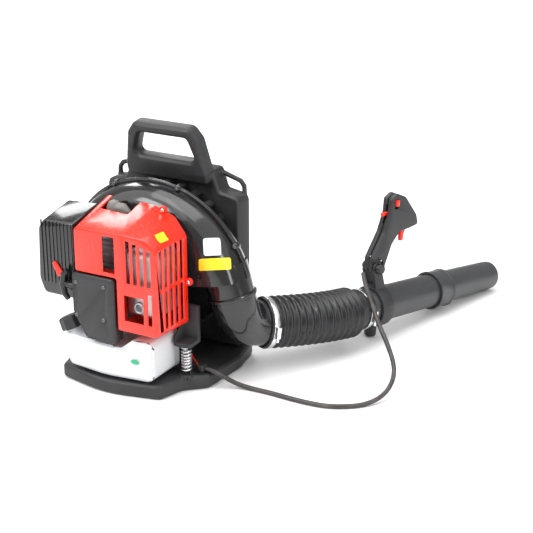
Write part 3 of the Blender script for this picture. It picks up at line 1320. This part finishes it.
def build_air_cleaner():
    """Air cleaner cover, filter and cover knob."""
    lean = 30 * MM
    outline = rounded([
        (CLEANER_LEFT + 12 * MM, CLEANER_LOW, 12 * MM), (CLEANER_LEFT, CLEANER_LOW + 30 * MM, 24 * MM),
        (CLEANER_LEFT + 4 * MM, CLEANER_TOP - 22 * MM, 18 * MM), (CLEANER_LEFT + 18 * MM,
                                                                  CLEANER_TOP - 4 * MM, 10 * MM),
        (CLEANER_RIGHT, CLEANER_TOP, 4 * MM), (CLEANER_RIGHT, CLEANER_LOW, 4 * MM),
    ])
    front = [lift(point, CLEANER_FRONT, "Y") for point in outline]
    raised = [Vector((p.x, p.y + (lean if p.y > CLEANER_TOP - 30 * MM else 0) * 0.6)) for p in outline]
    back = [lift(point, CLEANER_BACK, "Y") for point in raised]
    cover = piece("air_cleaner_cover", loft([front, back]), BLACK_PLASTIC)
    bevel(cover, 5 * MM, 1, 70)
    flatten(cover)
    wall = CLEANER_WALL
    inner_front = [lift(point, CLEANER_FRONT + wall, "Y") for point in offset(outline, -wall)]
    inner_back = [lift(point, CLEANER_BACK - wall, "Y") for point in offset(raised, -wall)]
    cut(cover, guide("air_cleaner_hollow", loft([inner_front, inner_back])))
    opening = block((CLEANER_RIGHT - 8 * MM, CLEANER_FRONT + wall + MM, CLEANER_LOW + 6 * MM),
                    (CLEANER_RIGHT + 2 * MM, CLEANER_BACK - wall - MM, CLEANER_TOP - 6 * MM))
    cut(cover, guide("air_cleaner_mouth", opening))
    below = block((-116 * MM, CLEANER_FRONT + 20 * MM, CLEANER_LOW - 5 * MM),
                  (CLEANER_RIGHT + 2 * MM, CLEANER_BACK - 10 * MM, CLEANER_LOW + 8 * MM))
    cut(cover, guide("air_cleaner_carburettor_gap", below))
    shaft = prism(circle(2.5 * MM + RUN_GAP, 12, (CHOKE_PIVOT.x, CHOKE_PIVOT.z)), CLEANER_FRONT - MM,
                  CLEANER_FRONT + 8 * MM, "Y")
    cut(cover, guide("choke_shaft_hole", shaft))
    knob_spot = (CLEANER_LEFT, (CLEANER_FRONT + CLEANER_BACK) / 2, 262 * MM)
    bolt = prism(circle(3 * MM + RUN_GAP, 12, (knob_spot[1], knob_spot[2])), CLEANER_LEFT - 5 * MM,
                 CLEANER_LEFT + 10 * MM, "X")
    cut(cover, guide("knob_bolt_hole", bolt))
    build_filter_knob(knob_spot)
    low = (CLEANER_LEFT + 24 * MM, CLEANER_FRONT + 10 * MM, CLEANER_LOW + 16 * MM)
    high = (-118 * MM, CLEANER_BACK - 8 * MM, CLEANER_TOP - 24 * MM)
    element = piece("air_filter", block(low, high), FOAM_BLACK)
    bevel(element, 4 * MM, 1, 60)


def build_filter_knob(spot):
    """Knob that holds the air cleaner cover."""
    axis = frame("cover_knob_axis", spot)
    profile = [(11 * MM, -14 * MM), (13 * MM, -11 * MM), (13 * MM, -SEAT_GAP - 1 * MM),
               (3 * MM, -SEAT_GAP - 1 * MM),
               (3 * MM, 20 * MM)]
    piece("air_cover_knob", turned(profile, 18, "X"), BLACK_PLASTIC, axis)


def build_carburettor():
    """Carburettor between the filter and the cylinder, with choke lever and primer bulb."""
    body = piece("carburettor", block((-112 * MM, -84 * MM, CARB_Z - 20 * MM),
                                      (-72 * MM, -44 * MM, CARB_Z + 20 * MM)), CAST_METAL)
    pump = block((-112 * MM, -84 * MM, 203 * MM), (-80 * MM, -52 * MM, CARB_Z - 12 * MM))
    port = prism(circle(12 * MM, 16, (CYLINDER_Y, CARB_Z)), -117.5 * MM,
                 CRANK_X - CYLINDER_FIN_HALF - 2 * SEAT_GAP, "X")
    fuse(body, guide("carburettor_pump", pump), guide("carburettor_port", port))
    cut(body, guide("carburettor_bore", prism(circle(8 * MM, 16, (CYLINDER_Y, CARB_Z)), -130 * MM, -40 * MM,
                                              "X")))
    spot = Vector((-96 * MM, -68 * MM, 203 * MM))
    recess = prism(circle(PRIMER_RADIUS + RUN_GAP, 16, (spot.x, spot.y)), spot.z - MM,
                   spot.z + PRIMER_TRAVEL + 4 * MM)
    cut(body, guide("primer_recess", recess))
    socket = prism(circle(2.5 * MM + RUN_GAP, 12, (CHOKE_PIVOT.x, 238 * MM)), -90 * MM, -76 * MM, "Y")
    cut(body, guide("choke_socket", socket))
    seat = frame("primer_seat", spot)
    dome = [(PRIMER_RADIUS, 2.5 * MM), (PRIMER_RADIUS, -2 * MM), (PRIMER_RADIUS - 2 * MM, -9 * MM),
            (PRIMER_RADIUS - 6 * MM, -13 * MM), (1 * MM, -14 * MM)]
    piece("primer_bulb", turned(dome, 16, "Z"), CLEAR_BULB, seat)
    build_choke_lever()


def build_choke_lever():
    """Choke lever in front of the air cleaner, on a shaft to the carburettor."""
    axis = frame("choke_axis", CHOKE_PIVOT)
    shaft = piece("choke_lever", prism(circle(2.5 * MM, 12), 0, 42 * MM, "Y"), BRIGHT_RED, axis)
    arm = rounded([(-6 * MM, -5 * MM, 4 * MM), (6 * MM, -5 * MM, 4 * MM), (5 * MM, 8 * MM, 3 * MM),
                   (-10 * MM, 26 * MM, 3 * MM), (-18 * MM, 22 * MM, 3 * MM)])
    fuse(shaft, guide("choke_arm", prism(arm, -1.2 * MM, 1.8 * MM, "Y"), axis))


# ---------------------------------------------------------------- fuel tank

def neck_axis_frame(name, height):
    """Frame up the filler neck, at a height above the neck's base."""
    up = Vector((-math.sin(NECK_LEAN), 0, math.cos(NECK_LEAN)))
    return frame(name, NECK_BASE + up * height, up=up)


def tank_outline():
    """Front view of the tank: low under the starter, high at the right."""
    return rounded([
        (TANK_LEFT + 8 * MM, TANK_LOW, 10 * MM), (TANK_RIGHT, TANK_LOW, 12 * MM), (TANK_RIGHT, TANK_HIGH,
                                                                                   14 * MM),
        (TANK_RIGHT - 44 * MM, TANK_HIGH, 8 * MM), (TANK_RIGHT - 68 * MM, TANK_TOP, 8 * MM),
        (TANK_LEFT - 12 * MM, TANK_TOP, 14 * MM), (TANK_LEFT, TANK_TOP - 26 * MM, 10 * MM),
    ])


def tank_plan(wall=0.0):
    """Plan of the tank, bowed like the front of the base."""
    return rounded([
        (0, TANK_FRONT + wall, 160 * MM), (TANK_RIGHT + 10 * MM - wall, TANK_FRONT + 14 * MM + wall,
                                           16 * MM),
        (TANK_RIGHT + 10 * MM - wall, TANK_BACK - wall, 10 * MM), (TANK_LEFT - 20 * MM + wall,
                                                                   TANK_BACK - wall, 10 * MM),
        (TANK_LEFT - 20 * MM + wall, TANK_FRONT + 14 * MM + wall, 16 * MM),
    ])


def build_tank():
    """Fuel tank with a leaning filler neck, hollow and open at the neck."""
    outline = tank_outline()
    tank = piece("fuel_tank", prism(outline, TANK_FRONT - 10 * MM, TANK_BACK + 10 * MM, "Y"), TANK_WHITE)
    combine(tank, guide("tank_plan", prism(tank_plan(), 0, TANK_HIGH + 50 * MM)), "INTERSECT")
    bevel(tank, 4 * MM, 1, 60)
    neck = neck_axis_frame("neck_frame", 0)
    fuse(tank, guide("tank_neck", turned([(NECK_RADIUS + 3 * MM, 0), (NECK_RADIUS, NECK_LENGTH - 12 * MM),
                                          (NECK_RADIUS, NECK_LENGTH)], 20, "Z"), neck))
    wall = TANK_WALL
    hollow = guide("tank_hollow", prism(offset(outline, -wall - 1.5 * MM), TANK_FRONT - 10 * MM,
                                        TANK_BACK + 10 * MM, "Y"))
    combine(hollow, guide("tank_hollow_plan", prism(tank_plan(wall + 1.5 * MM), 0, TANK_HIGH + 50 * MM)),
            "INTERSECT")
    cut(tank, hollow)
    cut(tank, guide("tank_neck_bore", turned([(NECK_RADIUS - wall, 2 * MM),
                                              (NECK_RADIUS - wall, NECK_LENGTH + MM)],
                                             20, "Z"), neck))


def build_cap():
    """Screw cap with a lobed grip, and the gasket that travels up with it."""
    top = NECK_LENGTH + SEAT_GAP
    gasket = neck_axis_frame("gasket_seat", top)
    ring = [(NECK_RADIUS, 0), (NECK_RADIUS, 1.6 * MM), (NECK_RADIUS - 5 * MM, 1.6 * MM),
            (NECK_RADIUS - 5 * MM, 0)]
    piece("fuel_cap_gasket", turned(ring, 20, "Z", True), BLACK_RUBBER, gasket)
    axis = frame("fuel_cap_axis", (0, 0, 0), holder=gasket)
    roof = 1.6 * MM + SEAT_GAP
    low = roof + 3 * MM - CAP_HEIGHT

    def lobed(radius, height):
        points = []
        for index in range(4 * CAP_LOBES):
            angle = 2 * math.pi * index / (4 * CAP_LOBES)
            reach = radius + 1.6 * MM * math.cos(CAP_LOBES * angle)
            points.append((reach * math.cos(angle), reach * math.sin(angle), height))
        return points

    rings = [lobed(CAP_RADIUS - 1 * MM, low), lobed(CAP_RADIUS, low + 3 * MM),
             lobed(CAP_RADIUS - 1 * MM, roof + 1 * MM),
             lobed(CAP_RADIUS - 5 * MM, roof + 4 * MM)]
    cap = piece("fuel_cap", loft(rings), BLACK_PLASTIC, axis)
    well = prism(circle(NECK_RADIUS + 3 * MM + RUN_GAP, 20), low - MM, roof)
    cut(cap, guide("fuel_cap_well", well, axis))


# ---------------------------------------------------------------- throttle cable

def build_cord(name, points, radius, look, resolution):
    """Round cord on a row of points."""
    curve = bpy.data.curves.new(name, "CURVE")
    curve.dimensions = "3D"
    curve.bevel_depth = radius
    curve.bevel_resolution = resolution
    curve.render_resolution_u = 0
    curve.use_fill_caps = True
    spline = curve.splines.new("POLY")
    spline.points.add(len(points) - 1)
    for spot, point in zip(spline.points, points):
        spot.co = (*point, 1.0)
    dress(link(name, curve, None), look)


def route_aim(points, index):
    """Direction of a route at one of its points."""
    before = points[max(index - 1, 0)]
    after = points[min(index + 1, len(points) - 1)]
    return (after - before).normalized()


def build_cable():
    """Throttle cable sleeve in three stretches, its clip on the base and the stop wire."""
    points = smooth_route(CABLE_ROUTE, CABLE_STEP)
    first = round(len(points) * CABLE_FIRST_CUT)
    second = round(len(points) * CABLE_SECOND_CUT)
    for name, low, high in (("throttle_cable_floor", 0, first), ("throttle_cable_rise", first, second),
                            ("throttle_cable_top", second, len(points) - 1)):
        ends = [(points[low], route_aim(points, low), 1), (points[high], route_aim(points, high), -1)]
        near, far = [[point + aim * way * SEAT_GAP, point + aim * way * 4 * MM] for point, aim, way in ends]
        build_cord(name, near + points[low + 1:high] + far[::-1], CABLE_RADIUS, BLACK_RUBBER, 2)
    start = points[0]
    low = Vector((start.x - 15 * MM, start.y - 9 * MM, BASE_HEIGHT + SEAT_GAP))
    high = Vector((start.x - 1.2 * MM, start.y + 9 * MM, start.z + 8 * MM))
    clip = piece("cable_clip", block(low, high), BLACK_PLASTIC)
    bevel(clip, 2 * MM, 1, 60)
    wire = smooth_route([(low.x / MM - 1, start.y / MM, start.z / MM), (134, -12, 41), (120, -6, 50),
                         (112, -2, 62)],
                        5 * MM)
    build_cord("stop_wire", wire, 1.3 * MM, BRIGHT_RED, 2)


# ---------------------------------------------------------------- fasteners

def build_screw(name, centre, radius, length):
    """Pan-head screw that is driven from the front."""
    seat = frame(name + "_frame", centre)
    profile = [(radius * 0.7, -0.6 * radius), (radius, -0.3 * radius), (radius, 0), (0.45 * radius, 0),
               (0.45 * radius, length)]
    piece(name, turned(profile, 12, "Y"), DARK_STEEL, seat)


def build_cover_screws():
    """Screws through the ears of the engine cover."""
    holes = []
    for name, (x, z) in zip(("cover_screw_side", "cover_screw_top"), ear_spots()):
        build_screw(name, (x, COVER_BACK - 8 * MM - SEAT_GAP, z), 4 * MM, 12 * MM)
        holes.append(prism(circle(1.8 * MM + SEAT_GAP, 10, (x, z)), COVER_BACK - 30 * MM,
                           COVER_BACK + 10 * MM, "Y"))
    cut(bpy.data.objects["engine_cover"], guide("cover_screw_holes", merged(holes)))


def main():
    for item in list(bpy.data.objects):
        bpy.data.objects.remove(item, do_unlink=True)
    build_base()
    build_tray()
    build_back_pad()
    for side in (-1, 1):
        build_spring(side)
        build_mount_arm(side)
    build_rear_mounts()
    build_housing_half("fan_housing_front", True)
    build_housing_half("fan_housing_rear", False)
    build_guard()
    build_rotor()
    build_elbow()
    build_hose()
    out = heading(ELBOW_END_YAW, ELBOW_END_DROP)
    build_hose_clamp("hose_clamp_elbow", ELBOW_END - out * 9 * MM, out, elbow_cuff_radius() + SEAT_GAP)
    axis = build_tube()
    build_handle(axis)
    build_crankcase()
    build_cylinder()
    build_muffler()
    build_engine_cover()
    build_cover_screws()
    build_starter()
    build_air_cleaner()
    build_carburettor()
    build_tank()
    build_cap()
    build_cable()


main()
